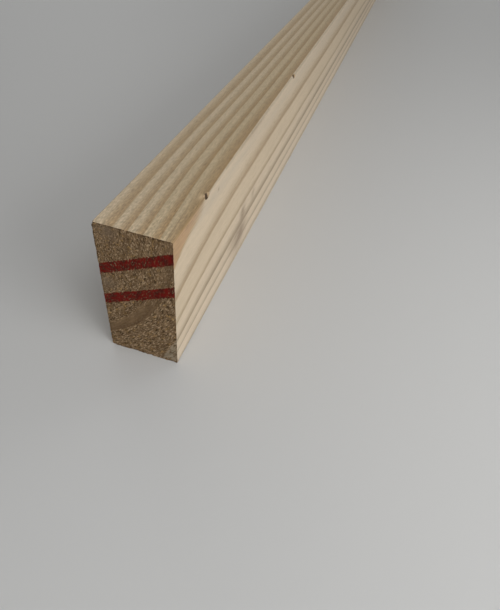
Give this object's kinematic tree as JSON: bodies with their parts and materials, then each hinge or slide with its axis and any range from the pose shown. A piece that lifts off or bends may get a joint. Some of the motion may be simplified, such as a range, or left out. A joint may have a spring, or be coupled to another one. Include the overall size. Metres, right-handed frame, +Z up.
{
  "type": "timber plank",
  "caption": "Long planed softwood plank of rectangular section with eased arrises and square sawn ends, for framing and general building work.",
  "frame": {"origin": "middle of the bottom narrow edge, halfway along the length", "axes": "+X across the thickness, +Y along the length away from the painted end, +Z up the width"},
  "size_m": [0.045, 2.4, 0.095],
  "materials": {
    "timber": "planed and uncoated on the long faces, sawn on the ends"
  },
  "bodies": {
    "root": {"plank": "timber"}
  },
  "joints": []
}
